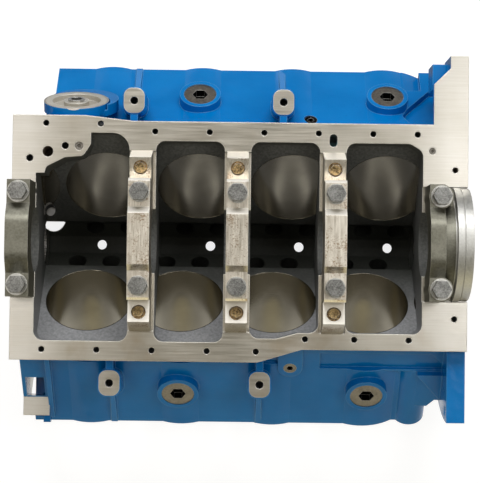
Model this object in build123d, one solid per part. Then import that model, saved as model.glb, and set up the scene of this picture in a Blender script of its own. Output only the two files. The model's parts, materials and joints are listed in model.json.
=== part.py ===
from build123d import *
import os
from math import cos, radians, sin, tan

os.makedirs("parts", exist_ok=True)

# A bare 90 degree V8 engine block with its main bearing caps bolted on.
# Sizes are in millimetres. The origin is on the crank axis at the centre main bearing.
# +X points to the flywheel end, +Y to the bank beside the oil filter and +Z to the sump,
# so the block lies upside down on the inner edges of its two decks.
# On each bank, "along" runs from the crank axis to the deck, and "across" is square to it,
# positive on the outside and negative on the valley side.
# Side +1 is the filter bank, called left, and side -1 is the starter bank, called right.

# Crank line and the two end faces
main_spacing = 111.25
main_bore_radius = 37.4
front_face_x = -263.6
rear_face_x = 269.0
front_wall = 28.0
rear_wall = 52.8
web_width = 31.0

# Cylinder banks
bank_half_angle = 45.0
bore_radius = 51.2
bank_stagger = 11.1
cylinders_per_bank = 4
deck_height = 241.3
deck_outer = 67.5
deck_inner = 70.0
deck_front_margin = 68.2
deck_rear_margin = 60.2
barrel_bulge = 3.5
bore_foot = 98.0
bore_runout = 5.0
bore_chamfer = 1.0

# Sump rail
rail_height = 7.0
rail_thickness = 12.0
rail_left_edge = 140.0
rail_wide_edge = 146.0
rail_wide_end_x = -150.0
rail_taper_start_x = -178.0
rail_taper_end_x = -123.0
rail_right_edge = 140.0
rail_starter_edge = 124.5
rail_jog_start_x = 25.0
rail_jog_end_x = 77.0
skirt_inset = 6.0
skirt_depth = 97.0

# Crankcase bays, seen from the sump
bay_left_wall = 117.0
bay_wide_wall = 125.7
bay_right_wall = 117.0
bay_middle_wall = 112.0
bay_starter_wall = 105.0
bay_jog_start_x = 46.7
bay_jog_end_x = 72.0
bay_corner = 11.0
front_bay_corner = 20.0
rear_corner_run = 15.0
rear_corner_drop = 9.0

# Camshaft line and valley
cam_axis_z = -117.0
cam_housing_radius = 28.0
cam_bearing_radius = 26.4
cam_bearing_width = 21.0
cam_bearing_seat = 0.05
tunnel_half = 27.0
tunnel_roof_z = -149.0
valley_floor_z = -157.0
lifter_radius = 11.1
lifter_pitch_half = 21.0
lifter_foot = 30.0
lifter_shelf = 165.0
lifter_wall = 3.6
end_rail_z = -205.0
end_rail_half = 104.0
core_half = 110.0
core_shoulder_z = -92.0
valley_front_x = -238.0
valley_rear_x = 232.0
drain_radius = 6.0
drain_front_x = -169.7

# Main bearing caps
register_half = 105.0
end_register_half = 67.0
register_clearance = 0.05
centre_cap_width = 25.0
cap_crown_z = 79.0
cap_crown_half = 29.0
cap_land_z = 72.0
cap_land_half = 69.0
cap_pad_z = 51.0
cap_pad_half = 94.0
cap_shoulder_z = 15.0
cap_chamfer = 3.0
end_cap_land_z = 56.0
end_cap_crown_z = 68.0
end_cap_crown_half = 22.0
end_cap_shoulder_half = 40.0
end_cap_round = 20.0
front_cap_width = 26.5
rear_cap_body = 17.5
rear_boss_radius = 14.0
rear_neck_radius = 54.0
seal_housing_width = 18.2
seal_housing_radius = 66.5
seal_step_width = 9.5
seal_step = 1.0
seal_groove_width = 1.2
seal_groove_depth = 2.0
seal_bore_radius = 52.0
seal_bore_depth = 13.0

# Main bearing fasteners
main_bolt_y = 53.0
main_bolt_radius = 6.35
main_bolt_reach = 42.0
main_head_flats = 19.0
main_head_height = 12.0
main_head_chamfer = 1.0
washer_radius = 11.5
end_washer_radius = 12.5
washer_thickness = 3.0
side_screw_y = 82.5
side_screw_radius = 4.75
side_screw_reach = 30.0
side_head_radius = 7.8
side_flange_height = 3.0
side_head_flats = 11.0
side_head_height = 9.0
side_head_sunk = 6.0
splay_angle = 15.0
thread_clearance = 0.1
bolt_clearance = 0.4
hole_runout = 5.0

# Oil pump pad, on the left rail at the front
pump_pad_rear_x = -171.9
pump_pad_rear_y = 112.0
pump_step_x = -181.0
pump_step_y = 98.4
pump_middle_x = -202.5
pump_middle_y = 96.4
pump_slope_x = -223.8
pump_slope_y = 85.4
pump_front_y = 78.0
pump_pad_round = 7.0
pump_bolt_radius = 4.1
pump_bolt_front_x = -243.1
pump_bolt_front_y = 95.4
pump_bolt_rear_x = -201.9
pump_bolt_rear_y = 110.1
pump_passage_radius = 6.2
pump_passage_x = -222.1
pump_passage_y = 103.2
pad_plug_radius = 4.9
pad_plug_x = -185.8
pad_plug_y = 110.0

# Holes in the sump rail
rail_bolt_radius = 3.5
rail_bolt_depth = 20.0
rail_bolt_front_x = -224.5
rail_bolt_pitch = 63.7
rail_bolt_y = 128.0
rail_wide_bolt_y = 136.4
rail_bolt_rear_x = 209.6
right_bolt_y = 127.4
right_bolt_pitch = 64.1
right_bolt_front_x = -226.1
starter_bolt_front_x = 23.4
starter_bolt_pitch = 57.1
starter_bolt_y = 112.2
starter_bolt_rear_x = 201.2
rear_rail_hole_x = 253.8
rear_rail_hole_y = 86.9
rear_rail_hole_radius = 3.4
rail_plug_x = 226.9
rail_plug_y = 108.9
rail_plug_radius = 4.0
dipstick_x = 111.25
dipstick_y = 119.8
dipstick_length = 15.0
dipstick_width = 9.2
dipstick_depth = 30.0

# Flywheel flange
flange_thickness = 21.4
flange_radius = 212.0
flange_ear_y = 221.0
flange_ear_depth = 60.0
flange_ear_step_x = 19.3
flange_ear_step_y = 18.8
flange_ear_neck_y = 187.4
starter_ear_drop = 17.0
starter_ear_y = 209.0
flange_bolt_radius = 5.6
flange_bolt_circle = 197.0
flange_boss_radius = 16.0
flange_dowel_radius = 8.0
flange_dowel_length = 22.0
left_tail_along = 215.0
right_tail_along = 196.0

# Engine mount bosses on the sloping sides
mount_boss_y = 167.0
mount_boss_z = -18.0
mount_boss_width = 27.6
mount_boss_length = 33.0
mount_boss_corner = 11.0
mount_boss_chamfer = 1.5
mount_hole_radius = 4.6
mount_hole_depth = 30.0
mount_boss_spacing = 177.0
mount_front_x = -123.8
mount_right_shift = -24.7
mount_rib_width = 8.5
mount_rib_draft = 8.0
mount_rib_height = 14.0
mount_rib_tip = 1.5
mount_neck_drop = 1.5
mount_neck_width = 9.0

# Core plugs on the sloping sides
core_plug_drop = 64.2
core_boss_height = 12.8
core_boss_radius = 25.0
core_plug_radius = 19.5
core_plug_depth = 12.0
core_plug_sunk = 1.0
core_socket_flats = 16.5
core_socket_depth = 9.5
core_plug_spread = 2.4

# Oil filter pad
filter_x = -193.0
filter_y = 167.5
filter_z = -28.0
filter_tilt = 22.0
filter_pad_radius = 38.5
filter_boss_radius = 36.0
filter_groove_radius = 29.0
filter_groove_depth = 7.0
filter_hub_radius = 15.0
filter_pad_rim = 6.0
filter_nipple_radius = 10.0
filter_nipple_bore = 6.5
filter_nipple_length = 30.0
filter_nipple_proud = 2.0
filter_boss_depth = 55.0
filter_collar_radius = 41.0
filter_collar_shift = 8.0
filter_collar_drop = 14.0
filter_collar_sunk = 1.0
filter_collar_width = 14.0
filter_collar_gap = 1.5

# Number panel, left bare, and the jacket drains
panel_front_x = 100.5
panel_rear_x = 254.9
panel_slant = 22.1
panel_low = 115.5
panel_high = 142.0
panel_depth = 4.0
drain_boss_x = 65.0
drain_boss_along = 137.0
drain_boss_half = 14.8
drain_boss_height = 5.0
drain_plug_radius = 7.8
drain_plug_length = 14.0
drain_socket_flats = 7.0
left_drain_x = 87.0
left_drain_along = 145.0

# Bosses at the two ends of the starter bank
front_pad_lead = 4.175
front_pad_y = 199.0
front_pad_z = -93.0
front_pad_length = 32.0
front_pad_width = 24.0
wing_rise = 12.0
front_rib_lead = 19.175
front_rib_width = 6.0
wing_notch_lead = 7.325
wing_notch_reach = 15.175
wing_notch_high_y = 163.7
wing_notch_depth = 26.0
wing_tab_width = 8.5
wing_tab_y = 220.0
column_x = 214.5
column_radius = 20.0
column_proud = 0.5
column_top_along = 145.0
rear_recess_depth = 7.0
rear_recess_margin = 22.0
tail_heel_x = 242.5
tail_toe_x = 234.0
tail_toe_along = 207.0
gusset_front_x = 217.0
gusset_height = 7.0
gusset_foot_along = 190.0

# Rear end of the filter bank
pocket_depth = 9.0
pocket_front_x = 198.0
pocket_front_along = 155.0
pocket_top_x = 207.0
pocket_top_along = 140.0
pocket_low_x = 205.0
pocket_low_along = 169.0
pocket_rear_x = 234.0
pocket_rear_along = 205.0
rear_barrel_radius = 92.0
rear_barrel_end_x = 223.5
ear_boss_length = 18.6
ear_boss_low_y = 184.0
ear_boss_high_y = 214.0
ear_boss_top_z = -16.0
ear_boss_depth = 44.0

# Deck drillings
head_bolt_across = 52.0
head_bolt_radius = 5.6
head_bolt_depth = 45.0
coolant_radius = 5.0
coolant_depth = 40.0
coolant_offset = 30.0
coolant_across = 58.5
head_dowel_radius = 7.9
head_dowel_length = 16.0
head_dowel_proud = 7.0
dowel_wall = 1.6

# Front face
water_port_y = 62.0
water_port_z = -152.0
water_port_radius = 16.0
front_bolt_radius = 4.0
front_bolt_depth = 22.0
front_bolt_y = 98.0
front_bolt_low_z = -20.0
front_bolt_pitch = 56.0
front_bolt_rows = 4
gallery_radius = 7.0
gallery_y = 30.0
gallery_z = -166.0
gallery_plug_length = 12.0
cam_plug_width = 5.0

# Distributor well
well_x = -230.0
well_y = 31.4
well_tilt = 9.3
well_radius = 17.5
well_boss_radius = 24.0
well_foot_z = -125.0
pump_shaft_radius = 6.5

bank_sin = sin(radians(bank_half_angle))
bank_cos = cos(radians(bank_half_angle))
far = 400.0
skin = 1.0

ceiling_along = bore_foot
core_plug_along = deck_height - core_plug_drop
bay_front_x = front_face_x + front_wall
bay_rear_x = rear_face_x - rear_wall
web_half = web_width / 2
main_positions = [step * main_spacing for step in (-1, 0, 1)]
front_cap_x = front_face_x + front_wall / 2
rear_cap_front_x = bay_rear_x + (web_width - centre_cap_width) / 2
rear_bolt_x = rear_cap_front_x + rear_boss_radius - 1.0


def bank_yz(side, along, across):
    """Y and Z of a point that is measured along and across a bank."""
    return (
        side * (along * bank_sin + across * bank_cos),
        across * bank_sin - along * bank_cos,
    )


def bank_plane(side, along, across=0.0, x=0.0):
    """A plane square to a bank's axis that faces away from the crank."""
    y, z = bank_yz(side, along, across)
    return Plane(origin=(x, y, z), x_dir=(1, 0, 0), z_dir=(0, side * bank_sin, -bank_cos))


def wall_plane(side, along, across, x):
    """A plane on a bank's sloping outer wall that faces outwards."""
    y, z = bank_yz(side, along, across)
    return Plane(origin=(x, y, z), x_dir=(1, 0, 0), z_dir=(0, side * bank_cos, bank_sin))


def bore_positions(side):
    """X of each cylinder in a bank, front to rear."""
    middle = (cylinders_per_bank - 1) / 2
    return [(step - middle) * main_spacing + side * bank_stagger for step in range(cylinders_per_bank)]


def deck_front(side):
    """X of the front end of a bank."""
    return bore_positions(side)[0] - deck_front_margin


def deck_rear(side):
    """X of the rear end of a bank."""
    return bore_positions(side)[-1] + deck_rear_margin


def slab(outline, x_from, x_to):
    """A prism along the crank, from an outline of Y and Z."""
    face = make_face(Polyline(*outline, close=True))
    return extrude(Plane.YZ.offset(x_from) * face, amount=x_to - x_from, dir=(1, 0, 0))


def plate(outline, z_from, z_to):
    """A prism towards the sump, from an outline of X and Y."""
    face = make_face(Polyline(*outline, close=True))
    return extrude(Plane.XY.offset(z_from) * face, amount=z_to - z_from, dir=(0, 0, 1))


def rod(plane, radius, length):
    """A round bar that starts on a plane and runs along its normal."""
    return plane * Cylinder(radius, length, align=(Align.CENTER, Align.CENTER, Align.MIN))


def wall_prism(side, outline, low, high):
    """A prism square to a bank's outer wall between two depths across, from points of X and along."""
    plane = wall_plane(side, 0.0, low, 0.0)
    points = [(x, side * along) for x, along in outline]
    return extrude(plane * make_face(Polyline(*points, close=True)), amount=high - low, dir=plane.z_dir)


def crank_rod(radius, x_from, x_to, y=0.0, z=0.0):
    """A round bar parallel to the crank."""
    plane = Plane(origin=(x_from, y, z), x_dir=(0, 1, 0), z_dir=(1, 0, 0))
    return rod(plane, radius, x_to - x_from)


def post(radius, x, y, z_from, z_to):
    """A round bar towards the sump."""
    return rod(Plane(origin=(x, y, z_from)), radius, z_to - z_from)


def block_between(low, high):
    """A rectangular block between its lowest and highest corners."""
    size = [top - bottom for bottom, top in zip(low, high)]
    return Pos(*low) * Box(*size, align=(Align.MIN, Align.MIN, Align.MIN))


def both_sides(half_outline):
    """A closed outline from its right half, given as Y and Z from top to bottom."""
    return half_outline + [(-y, z) for y, z in reversed(half_outline)]


def taper(start_radius, end_radius, length):
    """A cone that stands on the origin."""
    return Cone(start_radius, end_radius, length, align=(Align.CENTER, Align.CENTER, Align.MIN))


def hex_bar(plane, flats, length, turn=0.0):
    """A hexagonal bar on a plane, turned by some degrees, for bolt heads and sockets."""
    hexagon = RegularPolygon(flats / 2, 6, major_radius=False, rotation=turn)
    return extrude(plane * hexagon, amount=length, dir=plane.z_dir)


def crankcase_core():
    """The middle of the casting, from the sump rail to the rails that end the valley."""
    half = [
        (core_half, rail_height),
        (core_half, core_shoulder_z),
        (end_rail_half, end_rail_z),
    ]
    return slab(both_sides(half), front_face_x, rear_face_x)


def rail_outline(inset):
    """The sump rail seen from the sump, narrower at the starter, drawn in by the inset."""
    right = inset - rail_right_edge
    starter = inset - rail_starter_edge
    return [
        (front_face_x, right),
        (rail_jog_start_x, right),
        (rail_jog_end_x, starter),
        (rear_face_x, starter),
        (rear_face_x, rail_left_edge - inset),
        (rail_taper_end_x, rail_left_edge - inset),
        (rail_taper_start_x, rail_wide_edge - inset),
        (front_face_x, rail_wide_edge - inset),
    ]


def rails_and_skirts():
    """The sump rail and the upright crankcase sides under it."""
    rail = plate(rail_outline(0.0), rail_height - rail_thickness, rail_height)
    skirt = plate(rail_outline(skirt_inset), rail_height - skirt_depth, rail_height)
    return rail + skirt


def bank_body(side):
    """One bank: the block of cylinders, with the ridge that holds the lifters."""
    ridge = lifter_across() - lifter_radius - lifter_wall
    outline = [
        bank_yz(side, deck_height, deck_outer),
        bank_yz(side, deck_height, -deck_inner),
        bank_yz(side, lifter_shelf, -deck_inner),
        bank_yz(side, lifter_shelf, ridge),
        bank_yz(side, bore_foot, ridge),
        bank_yz(side, bore_foot - bore_runout, deck_outer),
    ]
    body = slab(outline, deck_front(side), deck_rear(side))
    for x in bore_positions(side):
        start = bank_plane(side, bore_foot + deck_outer / 2, x=x)
        body += rod(start, deck_outer + barrel_bulge, deck_height - bore_foot - deck_outer / 2)
    return body


def lifter_across():
    """Where the lifters' axes cross a bank: they all point at the camshaft."""
    return cam_axis_z * bank_sin


def half_disc(radius, x_from, x_to, side, top_z):
    """One side of a disc around the crank, cut off level below a height."""
    disc = crank_rod(radius, x_from, x_to)
    low_y, high_y = sorted((0.0, side * far))
    return disc & block_between((x_from, low_y, -far), (x_to, high_y, top_z))


def flange_bolt_angles():
    """Angles of the flywheel housing bolts from the valley side, the same on both sides."""
    return (24.0, 58.0, 82.0)


def flange_spot(side, angle):
    """Y and Z of a flywheel housing bolt."""
    return (
        side * flange_bolt_circle * sin(radians(angle)),
        -flange_bolt_circle * cos(radians(angle)),
    )


def flywheel_flange():
    """The round flange that carries the flywheel housing, with an ear at the left rail."""
    inner_x = rear_face_x - flange_thickness
    starter_z = rail_height - starter_ear_drop
    flange = half_disc(flange_radius, inner_x, rear_face_x, 1, rail_height)
    flange += half_disc(starter_ear_y, inner_x, rear_face_x, -1, starter_z)
    for side in (1, -1):
        for angle in flange_bolt_angles()[:2]:
            y, z = flange_spot(side, angle)
            flange += crank_rod(flange_boss_radius, inner_x, rear_face_x, y, z)
    ear = [
        (inner_x - flange_ear_step_x, core_half),
        (inner_x - flange_ear_step_x, flange_ear_neck_y),
        (inner_x, flange_ear_neck_y + flange_ear_step_y),
        (inner_x, flange_ear_y),
        (rear_face_x, flange_ear_y),
        (rear_face_x, core_half),
    ]
    flange += plate(ear, rail_height - rail_thickness, rail_height)
    flange += block_between(
        (inner_x, core_half, rail_height - flange_ear_depth), (rear_face_x, flange_ear_y, rail_height)
    )
    return flange


def bank_tail(side):
    """The lower web behind a bank, which ties it to the flange and leaves room for the starter."""
    inner_x = rear_face_x - flange_thickness
    start_x = deck_rear(side) - skin
    outline = [(start_x, bore_foot), (inner_x, bore_foot)]
    if side > 0:
        outline += [(inner_x, left_tail_along), (start_x, left_tail_along)]
    else:
        outline += [(inner_x, right_tail_along), (tail_heel_x, right_tail_along)]
        outline += [(tail_toe_x, tail_toe_along), (start_x, tail_toe_along)]
    return wall_prism(side, outline, -deck_inner, deck_outer)


def engine_mount_positions(side):
    """X of the two engine mount bosses on a side."""
    front = mount_front_x if side > 0 else mount_front_x + mount_right_shift
    return [front, front + mount_boss_spacing]


def mount_boss(side, x):
    """An upright boss on the sloping side, with a neck to the rail and a rib to the deck."""
    wall_z = deck_outer / bank_sin - mount_boss_y
    foot_z = wall_z - mount_boss_width
    top = Plane(origin=(x, side * mount_boss_y, foot_z)) * RectangleRounded(
        mount_boss_width, mount_boss_length, mount_boss_corner
    )
    boss = extrude(top, amount=mount_boss_z - foot_z, dir=(0, 0, 1))
    boss = chamfer(boss.faces().sort_by(Axis.Z)[-1].edges(), mount_boss_chamfer)
    neck_half = mount_neck_width / 2
    near_y, far_y = sorted((side * (rail_left_edge - 2 * skirt_inset), side * mount_boss_y))
    boss += block_between(
        (x - neck_half, near_y, wall_z), (x + neck_half, far_y, mount_boss_z - mount_neck_drop)
    )
    return boss + mount_rib(side, x)


def mount_rib(side, x):
    """The tapered rib below an engine mount boss, which runs out at the deck."""
    start = core_plug_along - core_boss_radius
    middle = wall_plane(side, (start + deck_height) / 2, deck_outer - skin, x)
    base = middle * Rectangle(mount_rib_width, deck_height - start)
    rib = extrude(base, amount=mount_rib_height + skin, taper=mount_rib_draft)
    fall = [
        bank_yz(side, deck_height, deck_outer + mount_rib_tip),
        bank_yz(side, start, deck_outer + mount_rib_height),
        bank_yz(side, start, 0.0),
        bank_yz(side, deck_height, 0.0),
    ]
    return rib & slab(fall, x - mount_rib_width, x + mount_rib_width)


def core_boss(side, x):
    """A round boss on the sloping side for a core plug."""
    return rod(wall_plane(side, core_plug_along, 0.0, x), core_boss_radius, deck_outer + core_boss_height)


def core_plug_positions(side):
    """X of the core plugs, near every second cylinder and a little further apart."""
    front, rear = bore_positions(side)[1::2]
    return [front - core_plug_spread, rear + core_plug_spread]


def filter_plane(offset):
    """The oil filter's pad, facing away from the block and tilted a little to the sump."""
    normal = (0, cos(radians(filter_tilt)), sin(radians(filter_tilt)))
    pad = Plane(origin=(filter_x, filter_y, filter_z), x_dir=(1, 0, 0), z_dir=normal)
    return pad.offset(offset)


def filter_boss():
    """The round boss of the oil filter, which grows out of the left rail."""
    boss = rod(filter_plane(-filter_boss_depth), filter_boss_radius, filter_boss_depth)
    collar_plane = filter_plane(-filter_collar_sunk - filter_collar_width)
    collar = collar_plane * Pos(filter_collar_shift, filter_collar_drop) * Cylinder(
        filter_collar_radius, filter_collar_width, align=(Align.CENTER, Align.CENTER, Align.MIN)
    )
    inside = filter_plane(-filter_pad_rim - filter_collar_gap)
    boss += collar - rod(inside, filter_pad_radius + filter_collar_gap, filter_boss_depth)
    boss += rod(filter_plane(-filter_pad_rim * 2), filter_pad_radius, filter_pad_rim * 2)
    return boss & block_between((-far, 0, -far), (far, far, rail_height))


def front_wing():
    """The front wall's wing on the starter side, with the machined pad at its end."""
    pad_x = deck_front(-1) + front_pad_lead
    rib_x = deck_front(-1) + front_rib_lead
    outline = [
        bank_yz(-1, ceiling_along, deck_outer),
        bank_yz(-1, deck_height - wing_rise, deck_outer),
        bank_yz(-1, deck_height - wing_rise, 0.0),
        bank_yz(-1, ceiling_along, 0.0),
    ]
    wing = slab(outline, pad_x - front_pad_length / 2, deck_front(-1) + skin)
    half_length = front_pad_length / 2
    half_width = front_pad_width / 2
    wing += block_between(
        (pad_x - half_length, -front_pad_y - half_width, front_pad_z - front_pad_width),
        (pad_x + half_length, -front_pad_y + half_width, front_pad_z),
    )
    rib_outline = [
        bank_yz(-1, ceiling_along, deck_outer + wing_rise),
        bank_yz(-1, deck_height - wing_rise, deck_outer + wing_rise / 2),
        bank_yz(-1, deck_height - wing_rise, 0.0),
        bank_yz(-1, ceiling_along, 0.0),
    ]
    wing += slab(rib_outline, rib_x, rib_x + front_rib_width)
    pad_edge_y = -front_pad_y - half_width
    wing += block_between(
        (pad_x + half_length - wing_tab_width, -wing_tab_y, front_pad_z - front_pad_width),
        (pad_x + half_length, pad_edge_y + skin, front_pad_z - wing_rise),
    )
    return wing


def wing_notch():
    """The gap in the wing above its pad: open at the front, shallow over the bank."""
    front_x = deck_front(-1) - wing_notch_lead
    high_y = -wing_notch_high_y
    low_y = front_pad_width / 2 - front_pad_y
    through = block_between((front_x, low_y, -far), (deck_front(-1), high_y, 0))
    floor_z = front_pad_z - wing_notch_depth
    shallow = block_between((front_x, low_y, floor_z), (deck_front(-1) + wing_notch_reach, high_y, 0))
    return [through, shallow]


def starter_column():
    """The round pilaster at the rear end of the starter bank, around a head bolt."""
    centre = deck_outer + column_proud - column_radius
    start = bank_plane(-1, column_top_along, centre, column_x)
    return rod(start, column_radius, deck_height - column_top_along)


def starter_recess():
    """The starter bank's outer wall is drawn in beside the column."""
    front_x = bore_positions(-1)[-1] + rear_recess_margin
    recess = [
        bank_yz(-1, column_top_along, deck_outer - rear_recess_depth),
        bank_yz(-1, deck_height + skin, deck_outer - rear_recess_depth),
        bank_yz(-1, deck_height + skin, deck_outer + column_radius),
        bank_yz(-1, column_top_along, deck_outer + column_radius),
    ]
    last_barrel = bank_plane(-1, bore_foot, x=bore_positions(-1)[-1])
    barrel = rod(last_barrel, deck_outer + barrel_bulge, deck_height)
    return slab(recess, front_x, deck_rear(-1) + skin) - barrel


def starter_gusset():
    """The raised triangular web that props the flange above the starter's notch."""
    inner_x = rear_face_x - flange_thickness
    outline = [
        (gusset_front_x, column_top_along),
        (inner_x + skin, column_top_along),
        (inner_x + skin, gusset_foot_along),
    ]
    return wall_prism(-1, outline, 0.0, deck_outer + gusset_height)


def rear_pocket():
    """The sunk patch of the filter bank's outer wall beside the flange."""
    inner_x = rear_face_x - flange_thickness
    outline = [
        (pocket_top_x, pocket_top_along),
        (pocket_front_x, pocket_front_along),
        (pocket_low_x, pocket_low_along),
        (pocket_rear_x, pocket_rear_along),
        (inner_x, pocket_rear_along),
        (inner_x, pocket_top_along),
    ]
    return wall_prism(1, outline, deck_outer - pocket_depth, deck_outer + far / 10)


def rear_scallop():
    """The filter bank's last barrel runs out in a wide curve towards the rear."""
    x = bore_positions(1)[-1]
    top = deck_outer + barrel_bulge
    waste = [
        bank_yz(1, pocket_rear_along, bore_radius),
        bank_yz(1, deck_height + skin, bore_radius),
        bank_yz(1, deck_height + skin, top + skin),
        bank_yz(1, pocket_rear_along, top + skin),
    ]
    barrel = rod(bank_plane(1, bore_foot, top - rear_barrel_radius, x), rear_barrel_radius, deck_height)
    return slab(waste, x, rear_barrel_end_x) - barrel


def ear_boss():
    """The boss behind the flange's ear on the filter side."""
    inner_x = rear_face_x - flange_thickness
    return block_between(
        (inner_x - ear_boss_length, ear_boss_low_y, ear_boss_top_z - ear_boss_depth),
        (inner_x + skin, ear_boss_high_y, ear_boss_top_z),
    )


def drain_boss():
    """A raised tongue on the starter side that carries the jacket drain plug."""
    face = wall_plane(-1, drain_boss_along - drain_boss_half, deck_outer - skin, drain_boss_x)
    tongue = face * SlotCenterToCenter(drain_boss_half * 2, drain_boss_half * 2, rotation=90)
    return extrude(tongue, amount=drain_boss_height + skin, dir=face.z_dir)


def well_boss():
    """The distributor's boss at the front end of the valley."""
    low = end_rail_z - valley_floor_z
    return rod(well_plane(low), well_boss_radius, tunnel_roof_z - end_rail_z)


def well_plane(rise):
    """A plane square to the distributor's leaning axis, at a distance from the valley floor."""
    lean = radians(well_tilt)
    plane = Plane(origin=(well_x, well_y, valley_floor_z), x_dir=(1, 0, 0), z_dir=(0, sin(lean), cos(lean)))
    return plane.offset(rise)


def raw_casting():
    """The casting before any machining."""
    body = crankcase_core() + rails_and_skirts()
    for side in (1, -1):
        body += bank_body(side)
        body += bank_tail(side)
    body += flywheel_flange()
    body -= [valley_space(), starter_recess(), rear_scallop(), rear_pocket()]
    extras = [filter_boss(), front_wing(), starter_column(), starter_gusset(), ear_boss()]
    extras += [drain_boss(), well_boss()]
    for side in (1, -1):
        extras += [mount_boss(side, x) for x in engine_mount_positions(side)]
        extras += [core_boss(side, x) for x in core_plug_positions(side)]
    for piece in extras:
        body += piece
    return body - [deck_waste(side) for side in (1, -1)]


def deck_waste(side):
    """What the milling cutter takes off above a deck."""
    return bank_plane(side, deck_height) * Box(
        2 * far, far, far / 10, align=(Align.CENTER, Align.CENTER, Align.MIN)
    )


def valley_space():
    """The open valley between the banks, down to the lifter ridges and the floor."""
    ridge = lifter_across() - lifter_radius - lifter_wall
    floor_along = (ridge * bank_sin - valley_floor_z) / bank_cos
    half = [
        bank_yz(1, floor_along, ridge),
        bank_yz(1, lifter_shelf, ridge),
        bank_yz(1, lifter_shelf, -deck_inner),
        bank_yz(1, deck_height + far / 10, -deck_inner),
    ]
    return slab(both_sides(half), valley_front_x, valley_rear_x)


def crankcase_section():
    """The crankcase inside, seen along the crank: two sloping ceilings and the cam tunnel."""
    top_z = rail_height + skin
    top_across = (top_z + ceiling_along * bank_cos) / bank_sin
    foot_across = (tunnel_half - ceiling_along * bank_sin) / bank_cos
    side_across = (tunnel_half - lifter_foot * bank_sin) / bank_cos
    roof_across = (tunnel_roof_z - cam_axis_z + lifter_foot * bank_cos) / bank_sin
    side_y, side_z = bank_yz(1, lifter_foot, side_across)
    roof_y, roof_z = bank_yz(1, lifter_foot, roof_across)
    half = [
        bank_yz(1, ceiling_along, top_across),
        bank_yz(1, ceiling_along, foot_across),
        (side_y, side_z + cam_axis_z),
        (roof_y, roof_z + cam_axis_z),
    ]
    return slab(both_sides(half), bay_front_x, bay_rear_x)


def inner_plan():
    """The crankcase inside, seen from the sump, as one long room."""
    outline = [
        (bay_front_x, -bay_right_wall),
        (0.0, -bay_right_wall),
        (0.0, -bay_middle_wall),
        (bay_jog_start_x, -bay_middle_wall),
        (bay_jog_end_x, -bay_starter_wall),
        (bay_rear_x, -bay_starter_wall),
        (bay_rear_x, bay_left_wall - rear_corner_drop),
        (bay_rear_x - rear_corner_run, bay_left_wall),
        (-main_spacing, bay_left_wall),
        (-main_spacing, bay_wide_wall),
        (bay_front_x, bay_wide_wall),
    ]
    return make_face(Polyline(*outline, close=True))


def pump_pad_plan():
    """The oil pump's pad, which fills a corner of the front bay at rail level."""
    outer = rail_wide_edge
    outline = [
        (pump_pad_rear_x, outer),
        (pump_pad_rear_x, pump_pad_rear_y),
        (pump_step_x, pump_step_y),
        (pump_middle_x, pump_middle_y),
        (pump_slope_x, pump_slope_y),
        (pump_slope_x - skin * 2, pump_front_y),
        (bay_front_x - bay_corner, pump_front_y),
        (bay_front_x - bay_corner, outer),
    ]
    pad = make_face(Polyline(*outline, close=True))
    corners = [corner for corner in pad.vertices() if corner.X > pump_slope_x - skin and corner.Y < outer]
    return fillet(corners, pump_pad_round)


def bay_plan(front_x, rear_x):
    """One bay between two webs, with rounded corners."""
    strip = Pos((front_x + rear_x) / 2, 0) * Rectangle(rear_x - front_x, far)
    room = inner_plan() & strip
    wide_corner = room.vertices().group_by(Axis.Y)[-1].sort_by(Axis.X)[-1]
    room = fillet([corner for corner in room.vertices() if corner != wide_corner], bay_corner)
    wide_corner = room.vertices().group_by(Axis.Y)[-1].sort_by(Axis.X)[-1]
    return fillet(wide_corner, front_bay_corner if front_x == bay_front_x else bay_corner)


def crankcase_bays():
    """The four bays between the main bearing webs."""
    walls = [bay_front_x]
    for x in main_positions:
        walls += [x - web_half, x + web_half]
    walls += [bay_rear_x]
    section = crankcase_section()
    bays = []
    for front_x, rear_x in zip(walls[::2], walls[1::2]):
        plan = bay_plan(front_x, rear_x)
        if front_x == bay_front_x:
            plan -= pump_pad_plan()
        room = extrude(Plane.XY.offset(tunnel_roof_z) * plan, amount=rail_height + skin - tunnel_roof_z)
        bays.append(room & section)
    return bays


def cap_seats():
    """The level seats of the main caps, sunk below the rail."""
    top = rail_height + skin
    seats = []
    for x in main_positions:
        seats.append(block_between((x - web_half, -register_half, 0), (x + web_half, register_half, top)))
    seats.append(
        block_between((front_face_x, -end_register_half, 0), (bay_front_x, end_register_half, top))
    )
    seats.append(
        block_between((bay_rear_x, -end_register_half, 0), (rear_face_x, end_register_half, top))
    )
    return seats


def crank_line_bores():
    """The main bearing housing, the seal housing at the rear and the camshaft housing."""
    return [
        crank_rod(main_bore_radius, front_face_x, rear_face_x),
        crank_rod(seal_bore_radius, rear_face_x - seal_bore_depth, rear_face_x),
        crank_rod(cam_housing_radius, front_face_x, rear_face_x, z=cam_axis_z),
    ]


def cylinder_bores(side):
    """The bores of one bank, with a small chamfer at the deck."""
    bores = []
    for x in bore_positions(side):
        start = bank_plane(side, bore_foot - bore_runout, x=x)
        bores.append(rod(start, bore_radius, deck_height - bore_foot + bore_runout))
        mouth = bank_plane(side, deck_height - bore_chamfer, x=x)
        bores.append(mouth * taper(bore_radius, bore_radius + bore_chamfer, bore_chamfer))
    return bores


def lifter_bores(side):
    """Two lifter bores for each cylinder, from the cam tunnel to the shelf in the valley."""
    bores = []
    for x in bore_positions(side):
        for shift in (-lifter_pitch_half, lifter_pitch_half):
            plane = Plane(
                origin=(x + shift, 0, cam_axis_z), x_dir=(1, 0, 0), z_dir=(0, side * bank_sin, -bank_cos)
            )
            bores.append(rod(plane, lifter_radius, lifter_shelf + cam_axis_z * bank_cos))
    return bores


def head_bolt_columns(side):
    """X of the head bolts, which stand between the cylinders and at both ends."""
    first = bore_positions(side)[0] - main_spacing / 2
    return [first + step * main_spacing for step in range(cylinders_per_bank + 1)]


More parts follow.
